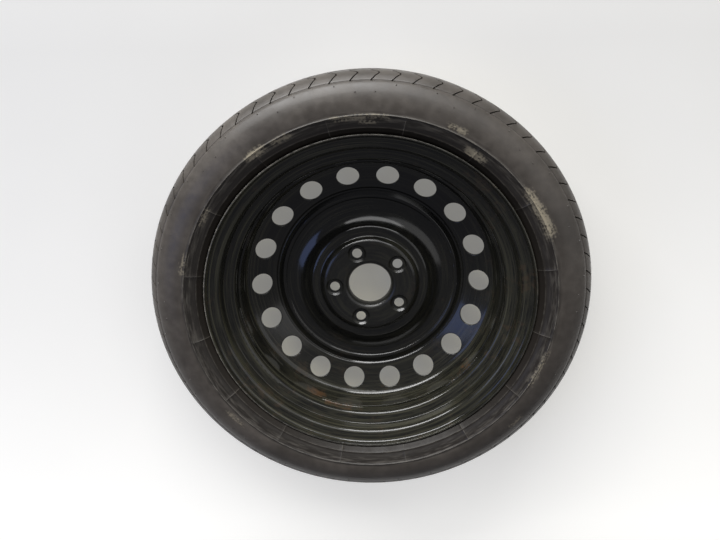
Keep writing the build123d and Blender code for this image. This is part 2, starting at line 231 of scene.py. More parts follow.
def wheel_radius(node, place):
    """Distance from the wheel's axis."""
    flat = node("VectorMath", (place, (1, 1, 0)), operation="MULTIPLY")
    return node("VectorMath", (flat,), "Value", operation="LENGTH")


def wheel_direction(node, place):
    """Unit vector that points away from the wheel's axis."""
    flat = node("VectorMath", (place, (1, 1, 0)), operation="MULTIPLY")
    return node("VectorMath", (flat,), operation="NORMALIZE")


def round_wheel(node, place, radius, along_mm, across_mm):
    """Streaky pattern that runs round the wheel, from the length and breadth of a streak."""
    # One turn is laid out at a radius of 220 mm, and height counts for less than radius
    length = 220 / along_mm
    height_share = 0.6
    turned = wheel_direction(node, place)
    turned = node("VectorMath", (turned, (length, length, 0)), operation="MULTIPLY")
    height = node("SeparateXYZ", (place,), "Z")
    breadth = node("Math", (height, height_share, radius), operation="MULTIPLY_ADD")
    breadth = node("Math", (breadth, 1 / (across_mm * MM)), operation="MULTIPLY")
    breadth = node("CombineXYZ", {2: breadth})
    laid = node("VectorMath", (turned, breadth), operation="ADD")
    return node("TexNoise", {"Vector": laid, "Scale": 1.0, "Detail": 4.0, "Roughness": 0.6})


def ring_line(node, radius, at, width):
    """Mask of a ring round the wheel's axis, full at one radius and gone a width away."""
    away = node("Math", (radius, at), operation="SUBTRACT")
    away = node("Math", (away,), operation="ABSOLUTE")
    return node("MapRange", (away, 0.0, width, 1.0, 0.0), **EASED)


def smears_on_wheel(node, place, radius, smears):
    """Mask of smears inboard: two angles, a radius and a reach in mm, and a strength for each."""
    turned = wheel_direction(node, place)
    mask = 0.0
    for first, last, at_radius, reach, strength in smears:
        middle = radians((first + last) / 2)
        half = radians((last - first) / 2)
        fade = reach / at_radius
        towards = (cos(middle), sin(middle), 0)
        facing = node("VectorMath", (turned, towards), "Value", operation="DOT_PRODUCT")
        gone, full = cos(half + fade), cos(max(half - fade, 0.0))
        along = node("MapRange", (facing, gone, full, 0.0, strength), **EASED)
        across = ring_line(node, radius, at_radius * MM, reach * MM)
        smear = node("Math", (along, across), operation="MULTIPLY")
        mask = node("Math", (smear, mask), operation="MAXIMUM")
    height = node("SeparateXYZ", (place,), "Z")
    inboard = node("MapRange", (height, 0.0, 20 * MM))
    return node("Math", (mask, inboard), operation="MULTIPLY")


def tyre_rubber_finish():
    """Moulded, vulcanised rubber: black and satin, with a grey patchy bloom above the upper rib."""
    colours = bpy.context.scene.spare_tyre
    finish, node, place = begin_finish("vulcanised_rubber")
    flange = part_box("rim")[1][0]
    upper_rib = flange + colours.upper_rib_rise
    lower_rib = flange + colours.lower_rib_rise
    radius = wheel_radius(node, place)
    across = node("SeparateXYZ", (place,), "X")
    upwards = node("SeparateXYZ", (place,), "Y")
    clouds = node("TexNoise", {"Vector": place, "Scale": 1 / (60 * MM), "Detail": 4.0})
    mottle = node("TexNoise", {"Vector": place, "Scale": 1 / (11 * MM), "Detail": 4.0})
    speckle = node("TexNoise", {"Vector": place, "Scale": 1 / (3 * MM), "Detail": 3.0})
    streaks = round_wheel(node, place, radius, 22, 3)
    # The bloom lies above the rib in clouds some 60 mm across, thicker on the photograph's left
    film = node("MapRange", (clouds, 0.32, 0.68, 0.5, 1.0))
    above = node("MapRange", (radius, upper_rib - 2 * MM, upper_rib + 6 * MM), **EASED)
    patchy = node("MapRange", (mottle, 0.35, 0.65, 0.72, 1.0))
    thinner = node("MapRange", (across, -0.2, 0.28, 1.0, 0.6))
    for share in (above, patchy, thinner):
        film = node("Math", (film, share), operation="MULTIPLY")
    # Dust lies in broken streaks beside the upper rib
    beside = ring_line(node, radius, upper_rib - 3 * MM, 13 * MM)
    settled = node("MapRange", (streaks, 0.45, 0.75, 0.0, 0.35))
    settled = node("Math", (settled, beside), operation="MULTIPLY")
    # Dust also clings to the crests of the ring ribs
    crest = ring_line(node, radius, upper_rib, 1.0 * MM)
    low_crest = ring_line(node, radius, lower_rib, 1.2 * MM)
    low_crest = node("Math", (low_crest, 0.35), operation="MULTIPLY")
    crest = node("Math", (crest, low_crest), operation="MAXIMUM")
    # It clings to the radial lines too, each half way along its share of the turn and 1 mm wide
    spacing = 2 * pi / SECTORS / len(RADIAL_LINES)
    half_line = 0.5 * MM / (spacing * lower_rib)
    line = node("Math", (upwards, across), operation="ARCTAN2")
    line = node("Math", (line, 1 / spacing), operation="MULTIPLY")
    line = node("Math", (line,), operation="FRACT")
    line = node("Math", (line, 0.5, half_line), operation="COMPARE")
    inside = node("Math", (radius, upper_rib), operation="LESS_THAN")
    for share in (inside, 0.6):
        line = node("Math", (line, share), operation="MULTIPLY")
    crest = node("Math", (crest, line), operation="MAXIMUM")
    rubbed = node("MapRange", (mottle, 0.38, 0.66, 0.08, 0.5))
    crest = node("Math", (crest, rubbed), operation="MULTIPLY")
    dusty = node("Math", (settled, crest), operation="MAXIMUM")
    # Dried mud is smeared along the upper rib where the photograph shows it
    smears = (
        (121, 126, 259, 11, 1.0),
        (112, 118, 257, 8, 0.7),
        (83, 100, 258, 7, 0.75),
        (87, 92, 251, 6, 0.7),
        (53, 59, 249, 9, 1.0),
        (62, 67, 266, 8, 0.75),
        (22, 38, 262, 13, 0.95),
        (146, 151, 256, 8, 0.6),
        (162, 168, 263, 9, 0.6),
        (-143, -136, 270, 9, 0.55),
        (-30, -16, 261, 9, 0.55),
        (-44, -39, 284, 9, 0.5),
    )
    smeared = smears_on_wheel(node, place, radius, smears)
    crumbs = node("Math", (streaks, speckle), operation="ADD")
    crumbs = node("Math", (smeared, 0.42, crumbs), operation="MULTIPLY_ADD")
    soiled = node("MapRange", (crumbs, 1.08, 1.4, 0.0, 0.95), **EASED)
    soiled = node("Math", (soiled, smeared), operation="MULTIPLY")
    colour = colours.rubber
    for share, coat in ((film, colours.bloom), (dusty, colours.dust), (soiled, colours.dirt)):
        colour = node("Mix", {0: share, MIX_A: colour, MIX_B: coat}, MIX_COLOUR, data_type="RGBA")
    satin = node("MapRange", (mottle, 0.3, 0.7, 0.38, 0.48))
    covered = node("Math", (soiled, dusty), operation="MAXIMUM")
    roughness = node("Math", (covered, 0.4, satin), operation="MULTIPLY_ADD")
    # The bead below the lower rib has the least sheen
    start, end = lower_rib - 2 * MM, lower_rib + 2 * MM
    sheen = node("MapRange", (radius, start, end, 0.2, 0.5))
    # Moulded texture, drawn at 1.6 mm because the real one is too fine to show
    skin = node("TexNoise", {"Vector": place, "Scale": 1 / (1.6 * MM), "Detail": 3.0})
    skin = node("Bump", {"Height": skin, "Distance": 0.1 * MM, "Strength": 0.35})
    inputs = {"Base Color": colour, "Roughness": roughness, "Specular IOR Level": sheen}
    end_finish(node, inputs | {"Normal": skin})
    return finish


def dip_paint_finish(name, rusting):
    """Dipped black paint on pressed steel: deep gloss, dusty on the rim, rusting at the welds."""
    colours = bpy.context.scene.spare_steel
    finish, node, place = begin_finish(name)
    radius = wheel_radius(node, place)
    across = node("SeparateXYZ", (place,), "X")
    height = node("SeparateXYZ", (place,), "Z")
    clouds = node("TexNoise", {"Vector": place, "Scale": 1 / (45 * MM), "Detail": 3.0})
    mottle = node(
        "TexNoise", {"Vector": place, "Scale": 1 / (8 * MM), "Detail": 5.0, "Roughness": 0.6}
    )
    streaks = round_wheel(node, place, radius, 30, 2.5)
    # A film of road dust lies on the rim in streaks, and thins out towards the vents
    outwards = node("MapRange", (radius, 165 * MM, 205 * MM, 0.3, 1.0), **EASED)
    dust = node("MapRange", (streaks, 0.38, 0.8, 0.03, 0.5))
    drifts = node("MapRange", (clouds, 0.3, 0.7, 0.5, 1.0))
    # The film is heavier towards the bottom and the right
    lower = node("VectorMath", (place, (0.5, -0.85, 0)), "Value", operation="DOT_PRODUCT")
    lower = node("MapRange", (lower, -0.16, 0.16, 0.45, 1.0))
    for share in (outwards, drifts, lower):
        dust = node("Math", (dust, share), operation="MULTIPLY")
    # Thin lines of it run far round the rim
    lines = round_wheel(node, place, radius, 260, 3.5)
    lines = node("MapRange", (lines, 0.47, 0.64, 0.0, 0.42))
    lines = node("Math", (lines, outwards), operation="MULTIPLY")
    dust = node("Math", (dust, lines), operation="MAXIMUM")
    # Water left brown stains on the rim
    stains = node("Math", (clouds, mottle), operation="ADD")
    stains = node("MapRange", (stains, 1.06, 1.35, 0.0, 0.4), **EASED)
    for share in (outwards, lower):
        stains = node("Math", (stains, share), operation="MULTIPLY")
    # Rust breaks through at two of the weld runs
    breaks = ((-44, -38, 190, 10, 1.0), (-122, -112, 192, 8, 1.0), (-113, -98, 196, 4, 0.9))
    broken = smears_on_wheel(node, place, radius, breaks)
    flakes = node("Math", (streaks, mottle), operation="ADD")
    flakes = node("Math", (broken, 0.5, flakes), operation="MULTIPLY_ADD")
    rust = node("MapRange", (flakes, 1.2, 1.65, 0.0, rusting), **EASED)
    rust = node("Math", (rust, broken), operation="MULTIPLY")
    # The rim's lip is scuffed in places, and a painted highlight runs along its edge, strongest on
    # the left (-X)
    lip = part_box("rim")[1]
    scuff_and_highlight = node("MapRange", (radius, lip[0] - 2.0 * MM, lip[0] - 0.6 * MM))
    top = node("MapRange", (height, lip[2] - 3.0 * MM, lip[2] - 0.8 * MM))
    side = node("MapRange", (across, 150 * MM, -150 * MM, 0.2, 0.85))
    places = node("MapRange", (mottle, 0.4, 0.6, 0.35, 1.0))
    for share in (top, side, places):
        scuff_and_highlight = node("Math", (scuff_and_highlight, share), operation="MULTIPLY")
    colour = colours.paint
    layers = (
        (dust, colours.dust),
        (stains, colours.stain),
        (rust, colours.rust),
        (scuff_and_highlight, colours.lip_wear_and_highlight),
    )
    for share, coat in layers:
        colour = node("Mix", {0: share, MIX_A: colour, MIX_B: coat}, MIX_COLOUR, data_type="RGBA")
    # The pad round the bore is dulled by the hub, and the rest by what lies on it
    cover = node("MapRange", (radius, 60 * MM, 74 * MM, 1.0, 0.0))
    for share, _ in layers:
        cover = node("Math", (cover, share), operation="MAXIMUM")
    gloss = node("MapRange", (clouds, 0.3, 0.7, 0.09, 0.15))
    roughness = node("Math", (cover, 0.2, gloss), operation="MULTIPLY_ADD")
    # The paint dried with a faint orange peel, about 5 mm from crest to crest
    peel = node("TexNoise", {"Vector": place, "Scale": 1 / (5 * MM), "Detail": 1.0})
    peel = node("Bump", {"Height": peel, "Distance": 0.05 * MM, "Strength": 0.3})
    end_finish(node, {"Base Color": colour, "Roughness": roughness, "Normal": peel})
    return finish


def small_part_finish(name, colour, darker, roughness, patch_mm, metallic=0.0):
    """Finish of a small part: one colour, clouded, with a roughness that follows the clouds."""
    finish, node, place = begin_finish(name)
    patch = 1 / (patch_mm * MM)
    clouds = node("TexNoise", {"Vector": place, "Scale": patch, "Detail": 3.0})
    clouds = node("MapRange", (clouds, 0.3, 0.7), **EASED)
    shade = tuple(channel * darker for channel in colour[:3]) + (1.0,)
    mixed = node("Mix", {0: clouds, MIX_A: shade, MIX_B: colour}, MIX_COLOUR, data_type="RGBA")
    worn = node("MapRange", {0: clouds, 3: roughness * 0.75, 4: roughness * 1.25})
    skin = node("TexNoise", {"Vector": place, "Scale": 4 * patch, "Detail": 3.0})
    skin = node("Bump", {"Height": skin, "Distance": 0.02 * MM, "Strength": 0.2})
    inputs = {"Base Color": mixed, "Roughness": worn, "Metallic": metallic}
    end_finish(node, inputs | {"Normal": skin})
    return finish


def wear_finish(piece, finish):
    """Give a piece or a CAD node one finish."""
    if piece.material_slots:
        piece.material_slots[0].material = finish
    else:
        piece.data.materials.append(finish)


def pick(piece):
    """Select one piece alone, and make it the active one."""
    bpy.ops.object.select_all(action="DESELECT")
    piece.select_set(True)
    bpy.context.view_layer.objects.active = piece


def select_vertices(piece, chosen):
    """Select some vertices of the piece in edit mode, and nothing else."""
    bpy.ops.object.mode_set(mode="EDIT")
    bpy.ops.mesh.select_mode(type="VERT")
    bpy.ops.mesh.select_all(action="DESELECT")
    bpy.ops.object.mode_set(mode="OBJECT")
    for index in chosen:
        piece.data.vertices[index].select = True
    bpy.ops.object.mode_set(mode="EDIT")


def trace_wire(name, outline):
    """A closed wire through an outline of (radius, height) points, in the XZ plane."""
    bpy.ops.object.select_all(action="DESELECT")
    bpy.ops.mesh.primitive_plane_add(size=MM)
    piece = bpy.context.active_object
    piece.name = piece.data.name = name
    bpy.ops.object.mode_set(mode="EDIT")
    bpy.ops.mesh.merge(type="CENTER")
    bpy.ops.transform.translate(value=(outline[0][0], 0.0, outline[0][1]))
    for before, after in zip(outline, outline[1:]):
        step = (after[0] - before[0], 0.0, after[1] - before[1])
        bpy.ops.mesh.extrude_vertices_move(TRANSFORM_OT_translate={"value": step})
    select_vertices(piece, [0, len(outline) - 1])
    bpy.ops.mesh.edge_face_add()
    bpy.ops.mesh.select_all(action="SELECT")
    return piece


def spun_rows(piece, columns, angle):
    """Spin the wire about the upright axis, and give its points by column and row."""
    rows = len(piece.data.vertices)
    bpy.ops.mesh.spin(steps=columns, angle=angle, center=(0, 0, 0), axis=(0, 0, 1))
    bpy.ops.object.mode_set(mode="OBJECT")
    points = np.empty(len(piece.data.vertices) * 3)
    piece.data.vertices.foreach_get("co", points)
    return points.reshape(-1, rows, 3)


def set_points(piece, points):
    """Move the piece's vertices to new places."""
    piece.data.vertices.foreach_set("co", points.ravel())
    piece.data.update()


def repeat_round(copies):
    """Copy the active piece's mesh round the upright axis, and close it up."""
    bpy.ops.object.mode_set(mode="EDIT")
    bpy.ops.mesh.select_all(action="SELECT")
    if copies > 1:
        angle = 2 * pi * (copies - 1) / copies
        bpy.ops.mesh.spin(
            steps=copies - 1, dupli=True, angle=angle, center=(0, 0, 0), axis=(0, 0, 1)
        )
    bpy.ops.mesh.select_all(action="SELECT")
    bpy.ops.mesh.remove_doubles(threshold=0.01 * MM)
    bpy.ops.mesh.normals_make_consistent(inside=False)
    bpy.ops.object.mode_set(mode="OBJECT")


def smooth(piece, angle):
    """Shade the piece smooth, apart from edges sharper than an angle in degrees."""
    pick(piece)
    bpy.ops.object.shade_smooth_by_angle(angle=radians(angle))


def arc(start, end, leaving, steps):
    """Points after start on the arc that leaves it in one direction and stops at end."""
    ahead = leaving.normalized()
    aside = Vector((-ahead.y, ahead.x))
    chord = end - start
    turn = 2 * atan2(chord.dot(aside), chord.dot(ahead))
    centre = start + aside * (chord.length / (2 * sin(turn / 2)))
    turns = [Matrix.Rotation(turn * step / steps, 2) for step in range(1, steps + 1)]
    return [centre + each @ (start - centre) for each in turns]


class TyreShape:
    """Stations of the tyre's section, as radius and reach from the rim's centre plane."""

    def __init__(self, sizes):
        rim_low, rim_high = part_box("rim")
        self.sizes = sizes
        self.middle = (rim_low[2] + rim_high[2]) / 2
        self.flange = rim_high[0]
        self.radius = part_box("tyre")[1][0]
        self.half_section = sizes.section_width / 2
        self.half_tread = sizes.tread_width / 2
        self.half_crown = sizes.crown_width / 2
        self.widest = self.flange + sizes.sidewall_rise
        self.shoulder = Vector((self.radius - sizes.shoulder_drop, self.half_tread))
        self.crown_edge = Vector((self.radius - sizes.crown_drop, self.half_crown))
        # The bead lies round the rim's flange, a hair off its 9.5 mm bend
        self.bend_radius = 9.7 * MM
        self.bend_centre = Vector((self.flange - 9.5 * MM, 60.3 * MM))
        self.foot = self.wrapped(70)

    def wrapped(self, angle):
        """Point of the bead where it lies round the rim's flange."""
        turn = radians(angle)
        return self.bend_centre + self.bend_radius * Vector((sin(turn), -cos(turn)))

    def ring_relief(self):
        """Ring lines of the sidewall: radius, half width and rise."""
        sizes = self.sizes
        return (
            (self.flange + sizes.lower_rib_rise, 1.6 * MM, sizes.rib_height * 0.8),
            (self.flange + sizes.upper_rib_rise, 1.7 * MM, sizes.rib_height),
            (self.shoulder.x - 2.9 * MM, 1.1 * MM, -0.7 * MM),
        )

    def relief(self, radius):
        """Height of the ring ribs and of the line below the shoulder, at a radius."""
        height = 0.0
        for at, half_width, rise in self.ring_relief():
            share = min(abs(radius - at) / half_width, 1.0)
            height += rise * (1 + cos(pi * share)) / 2
        return height

    def sidewall(self, radius):
        """Reach of the sidewall at a radius, without its ring lines."""
        end = self.foot if radius < self.widest else self.shoulder
        inset = self.half_section - end.y
        run = abs(end.x - self.widest)
        curve = (inset**2 + run**2) / (2 * inset)
        return self.half_section - curve + sqrt(curve**2 - (radius - self.widest) ** 2)

    def sidewall_stations(self):
        """Radii of the sidewall's rows: evenly spaced, and closer across ring lines and nubs."""
        close = []
        for at, half_width, _ in self.ring_relief():
            shares = (-1.0, -0.6, -0.25, 0.0, 0.25, 0.6, 1.0)
            close += [at + half_width * share for share in shares]
        for below in NUB_COLUMNS:
            close += [self.shoulder.x - below + NUB_SPREAD * step for step in (-1, 0, 1)]
        spacing, clearance = 4 * MM, 0.9 * MM
        height = self.shoulder.x - self.foot.x
        count = round(height / spacing)
        even = [self.foot.x + height * step / count for step in range(1, count)]
        even = [at for at in even if min(abs(at - other) for other in close) > clearance]
        return sorted(even + close)

    def crown(self, reach):
        """Radius of the tread at a reach."""
        return self.radius - self.sizes.crown_drop * (reach / self.half_crown) ** 2

    def outside_half(self):
        """Rows of the outside, from the toe to the middle of the tread."""
        sizes = self.sizes
        # The toe and the seat of the bead come first
        seat = ((217.2, 36.3), (218.0, 45.0), (219.6, 48.6), (222.4, 50.4))
        rows = [Vector((radius * MM, reach * MM)) for radius, reach in seat]
        rows += [self.wrapped(angle) for angle in (0, 18, 36, 54, 70)]
        for radius in self.sidewall_stations():
            rows.append(Vector((radius, self.sidewall(radius) + self.relief(radius))))
        # The shoulder bulges between its edge and the crown
        bulge = Vector((1.2 * MM, 1.2 * MM))
        steps = 6
        for step in range(steps + 1):
            share = step / steps
            point = self.shoulder.lerp(self.crown_edge, share)
            rows.append(point + bulge * 4 * share * (1 - share))
        half_groove = sizes.groove_width / 2
        half_floor = half_groove * 0.85
        floor = self.radius - sizes.groove_depth
        side_groove = sizes.groove_spacing
        for reach in (41.0 * MM, 36.0 * MM, 32.0 * MM, side_groove + half_groove):
            rows.append(Vector((self.crown(reach), reach)))
        rows.append(Vector((floor, side_groove + half_floor)))
        rows.append(Vector((floor, side_groove - half_floor)))
        for reach in (side_groove - half_groove, 17.0 * MM, 10.0 * MM, half_groove):
            rows.append(Vector((self.crown(reach), reach)))
        rows.append(Vector((floor, half_floor)))
        return rows

    def inside_half(self):
        """Rows of the inside, from the middle of the crown to the neck of the bead."""
        # The wall is 6 mm thick at the side and 11 mm under the tread
        widest = Vector((self.widest, self.half_section - 6.0 * MM))
        edge = Vector((self.radius - 12.0 * MM, self.half_crown))
        neck = Vector((233.3 * MM, 40.8 * MM))
        up = arc(widest, edge, Vector((1, 0)), 4)
        down = arc(widest, neck, Vector((-1, 0)), 4)
        crown = [Vector((self.radius - 11.0 * MM, 15.0 * MM))]
        crown.append(Vector((self.radius - 11.3 * MM, 32.0 * MM)))
        return crown + up[::-1] + [widest] + down


def press_sipes(shape, angles, radii, reaches, outside):
    """Draw columns together along the zigzag of each sipe and press its floor in."""
    sizes = shape.sizes
    pitch = 2 * pi / SECTORS / PITCHES
    apex = (shape.half_tread + shape.half_crown) / 2
    trail = [sizes.groove_spacing, shape.half_crown, apex, shape.half_tread + sizes.sipe_width]
    swings = [0.5, -0.5, 0.5, -0.5]
    for row in range(outside):
        radius, reach = radii[0, row], reaches[0, row]
        on_tread = radius > shape.shoulder.x - SIPE_OVERRUN
        in_groove = radius < shape.crown(reach) - 1.5 * MM and abs(reach) < shape.half_crown
        if not on_tread or in_groove or abs(reach) < sizes.groove_spacing:
            continue
        side = 1 if reach > 0 else -1
        swing = side * sizes.sipe_swing * np.interp(abs(reach), trail, swings)
        width = pitch * radius
        left = width / 2 + swing - sizes.sipe_width / 2
        right = left + sizes.sipe_width
        lean = sizes.sipe_width * 0.12
        past = (width - right) / 3
        spread = [0, left / 2, left, left + lean]
        spread += [right - lean, right, right + past, right + 2 * past]
        tilt = radians(np.interp(abs(reach), [shape.half_crown, shape.half_tread], [8, 55]))
        for number in range(PITCHES):
            first = number * PITCH_COLUMNS
            for column, offset in enumerate(spread):
                angles[first + column, row] = -(number * pitch + offset / radius)
            for column in (first + 3, first + 4):
                radii[column, row] -= sizes.sipe_depth * cos(tilt)
                reaches[column, row] -= side * sizes.sipe_depth * sin(tilt)


def raise_radial_lines(shape, angles, radii, reaches, outside):
    """Raise the thin radial lines that cross the band between the flange and the upper rib."""
    half_width, height = 0.8 * MM, 0.4 * MM
    lowest = shape.flange + 3 * MM
    highest = shape.flange + shape.sizes.upper_rib_rise - 1 * MM
    for row in range(outside):
        if not lowest < radii[0, row] < highest or abs(reaches[0, row]) < shape.half_crown:
            continue
        side = 1 if reaches[0, row] > 0 else -1
        turn = half_width / radii[0, row]
        for column in RADIAL_LINES:
            angles[column - 1, row] = angles[column, row] + turn
            angles[column + 1, row] = angles[column, row] - turn
            reaches[column, row] += side * height


def raise_nubs(shape, angles, radii, reaches, outside):
    """Pull up the small nubs that the mould's vents leave on the sidewall."""
    height = shape.sizes.nub_height
    for row in range(outside):
        radius, reach = radii[0, row], reaches[0, row]
        side = 1 if reach > 0 else -1
        turn = NUB_SPREAD / radius
        for below, columns in NUB_COLUMNS.items():
            off_ring = abs(radius - shape.shoulder.x + below) > 0.01 * MM
            if off_ring or abs(reach) < shape.half_crown:
                continue
            for column in columns:
                for beside in (row - 1, row, row + 1):
                    angles[column - 1, beside] = angles[column, row] + turn
                    angles[column + 1, beside] = angles[column, row] - turn
                reaches[column, row] += side * height
                radii[column, row] += height / 3


def mirrored(rows):
    """The same rows beyond the rim's centre plane, in reverse order."""
    return [Vector((point.x, -point.y)) for point in reversed(rows)]


class SPARE_OT_tyre(bpy.types.Operator):
    """Model the tyre as one moulding with grooves, zigzag sipes, ribs, radial lines and nubs"""

    bl_idname = "spare.tyre"
    bl_label = "Tyre"

    def execute(self, context):
        shape = TyreShape(context.scene.spare_tyre)
        half = shape.outside_half()
        inside = shape.inside_half()
        outline = half + mirrored(half)
        outside = len(outline)
        outline += mirrored(inside) + inside
        columns = PITCHES * PITCH_COLUMNS
        tyre = trace_wire("moulded_tyre", outline)
        points = spun_rows(tyre, columns, 2 * pi / SECTORS)
        radii = np.tile([point.x for point in outline], (columns + 1, 1))
        reaches = np.tile([point.y for point in outline], (columns + 1, 1))
        turns = -2 * pi / SECTORS * np.arange(columns + 1) / columns
        angles = np.repeat(turns[:, None], len(outline), axis=1)
        for mould in (press_sipes, raise_radial_lines, raise_nubs):
            mould(shape, angles, radii, reaches, outside)
        points[:, :, 0] = radii * np.cos(angles)
        points[:, :, 1] = radii * np.sin(angles)
        points[:, :, 2] = shape.middle + reaches
        set_points(tyre, points)
        repeat_round(SECTORS)
        smooth(tyre, 38)
        wear_finish(tyre, tyre_rubber_finish())
        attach(tyre, "wheel")
        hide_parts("tyre")
        return {"FINISHED"}


class SPARE_OT_wheel(bpy.types.Operator):
    """Paint the rolled rim and the pressed disc"""

    bl_idname = "spare.wheel"
    bl_label = "Rim and disc"

    def execute(self, context):
        paint = dip_paint_finish("black_dip_paint", 0.65)
        for name in ("rim", "wheel_disc"):
            wear_finish(frame["nodes"][name], paint)
        return {"FINISHED"}


class SPARE_OT_welds(bpy.types.Operator):
    """Model the rippled fillet welds between the disc's skirt and the rim"""

    bl_idname = "spare.welds"
    bl_label = "Weld runs"

    def execute(self, context):
        sizes = context.scene.spare_steel
        draw = random.Random(7)
        # The runs lie in the corner between the disc's edge and the rim's well
        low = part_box("disc_welds")[0][2]
        root = 197.2 * MM
        leg = sizes.weld_leg
        runs = 6
        columns = 48
        run_angle = radians(20)
        first = radians(-34)
        corner = Vector((root, low))
        toe = Vector((root - leg, low))
        outline = [corner, toe]
        outline += arc(toe, Vector((root, low + leg)), Vector((0.2, 1.0)), 6)
        welds = trace_wire("weld_runs", outline)
        points = spun_rows(welds, columns, run_angle)
        # A run is thin at its two ends and thick at its ripples, and a little uneven
        for column in range(columns + 1):
            along = root * run_angle * column / columns
            ripple = 0.5 + 0.5 * abs(sin(pi * along / sizes.weld_ripple))
            taper = min(1.0, 4 * min(column, columns - column) / columns + 0.45)
            swell = taper * (0.62 + 0.3 * ripple + draw.uniform(-0.04, 0.04))
            angle = first - run_angle * column / columns
            for row, point in enumerate(outline):
                moved = corner + (point - corner) * (swell if row else 1.0)
                points[column, row] = (moved.x * cos(angle), moved.x * sin(angle), moved.y)
        set_points(welds, points)
        rows = len(outline)
        for end in (0, columns):
            select_vertices(welds, range(end * rows, end * rows + rows))
            bpy.ops.mesh.edge_face_add()
        repeat_round(runs)
        smooth(welds, 50)
        wear_finish(welds, dip_paint_finish("painted_weld_steel", 0.75))
        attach(welds, "wheel")
        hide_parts("disc_welds")
        return {"FINISHED"}


def stand_on_valve(piece):
    """Move a piece from the upright axis to the valve's axis, and fix it there."""
    cap_turn = next(joint for joint in frame["joints"] if joint["name"] == "cap_turn")
    lean = Vector(cap_turn["axis"]).to_track_quat("Z", "Y").to_matrix().to_4x4()
    pick(piece)
    piece.matrix_world = Matrix.Translation(cap_turn["pos_m"]) @ lean
    bpy.ops.object.transform_apply(location=True, rotation=True, scale=True)


def turned_on_valve(name, stations, columns):
    """A piece turned about the valve's axis, from (radius, station) points in millimetres."""
    piece = trace_wire(name, [Vector(station) * MM for station in stations])
    spun_rows(piece, columns, 2 * pi)
    repeat_round(1)
    stand_on_valve(piece)
    smooth(piece, 40)
    return piece


class SPARE_OT_valve_rubber(bpy.types.Operator):
    """Model the rubber of the valve: its snap-in body and the disc in its cap"""

    bl_idname = "spare.valve_rubber"
    bl_label = "Valve rubber"

    def execute(self, context):
        sizes = context.scene.spare_valve
        # Smooth moulded rubber: black, with a soft dull sheen
        finish = small_part_finish("valve_rubber", sizes.rubber, 0.7, 0.55, 6)
        # The foot bulges inside the rim
        stations = [(1.7, -5.5), (5.6, -5.5), (6.6, -5.1), (7.3, -4.2), (7.8, -2.6), (7.8, -0.9)]
        stations += [(7.5, -0.3), (6.9, 0.0), (5.65, 0.0), (5.55, 1.5), (5.65, 2.93)]
        # The collar lies on its outside and narrows to the neck
        stations += [(6.7, 2.93), (7.1, 3.2), (7.2, 3.8), (7.2, 5.3), (6.95, 6.0), (6.2, 7.6)]
        stations += [(5.6, 9.4), (5.2, 11.0), (5.0, 12.2)]
        # Four rings are sunk into the neck
        neck, half_ring, half_floor = 5.0, 0.7, 0.35
        floor = neck - sizes.ring_depth / MM
        for ring in (13.5, 16.0, 18.5, 21.0):
            stations += [(neck, ring - half_ring), (floor, ring - half_floor)]
            stations += [(floor, ring + half_floor), (neck, ring + half_ring)]
        stations += [(neck, 23.1), (4.85, 23.7), (4.4, 24.0), (3.0, 24.0), (3.0, 1.5), (1.7, 1.5)]
        body = turned_on_valve("snap_in_rubber", stations, 40)
        wear_finish(body, finish)
        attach(body, "wheel")
        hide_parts("valve_body")
        # The stem's end has pressed a shallow ring into the disc
        stations = [(0.0, 33.5), (2.3, 33.5), (2.6, 33.62), (3.3, 33.62), (3.55, 33.5)]
        stations += [(3.75, 33.6), (3.85, 33.8), (3.85, 34.25), (3.7, 34.45), (3.5, 34.5)]
        stations += [(0.0, 34.5)]
        disc = turned_on_valve("cap_disc", stations, 32)
        wear_finish(disc, finish)
        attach(disc, "cap_seal")
        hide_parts("valve_cap_seal")
        return {"FINISHED"}


class SPARE_OT_valve_stem(bpy.types.Operator):
    """Model the brass stem with the thread that the cap runs on"""

    bl_idname = "spare.valve_stem"
    bl_label = "Valve stem"

    def execute(self, context):
        sizes = context.scene.spare_valve
        # Stations and radius of the thread in millimetres, below a chamfer at the stem's end
        foot, top, crest = 24.0, 33.5, 3.85
        thread_top = top - 0.4
        run_in, run_out = 0.5, 0.3
        rows_a_turn = 6
        pitch = sizes.thread_pitch / MM
        depth = sizes.thread_depth / MM
        count = round((thread_top - foot) / pitch * rows_a_turn)
        thread = [(crest, foot + (thread_top - foot) * step / count) for step in range(count + 1)]
        below = [(1.7, 1.5), (3.0, 1.5), (3.0, foot)]
        stations = below + thread
        stations += [(crest - 0.45, top), (2.6, top), (2.6, 26.3), (1.7, 25.4)]
        columns = 24
        stem = trace_wire("threaded_stem", [Vector(station) * MM for station in stations])
        points = spun_rows(stem, columns, 2 * pi)
        for row in range(len(below), len(below) + len(thread)):
            station = stations[row][1]
            ends = min(1.0, (station - foot) / run_in, (thread_top - station) / run_out)
            for column in range(len(points)):
                turn = atan2(points[column, row, 1], points[column, row, 0]) / (2 * pi)
                phase = (station / pitch - turn) % 1.0
                # Flanks at 60 degrees leave a crest and a root an eighth of the pitch wide
                cut = min(max((abs(phase - 0.5) - 0.0625) / 0.375, 0.0), 1.0)
                points[column, row, :2] *= (crest - depth * cut * max(ends, 0.0)) / crest
        set_points(stem, points)
        repeat_round(1)
        stand_on_valve(stem)
        smooth(stem, 25)
        # Turned brass: dull gold, and it glints along the thread
        wear_finish(stem, small_part_finish("turned_brass", sizes.brass, 0.75, 0.3, 3, 1.0))
        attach(stem, "wheel")
        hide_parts("valve_stem")
        return {"FINISHED"}


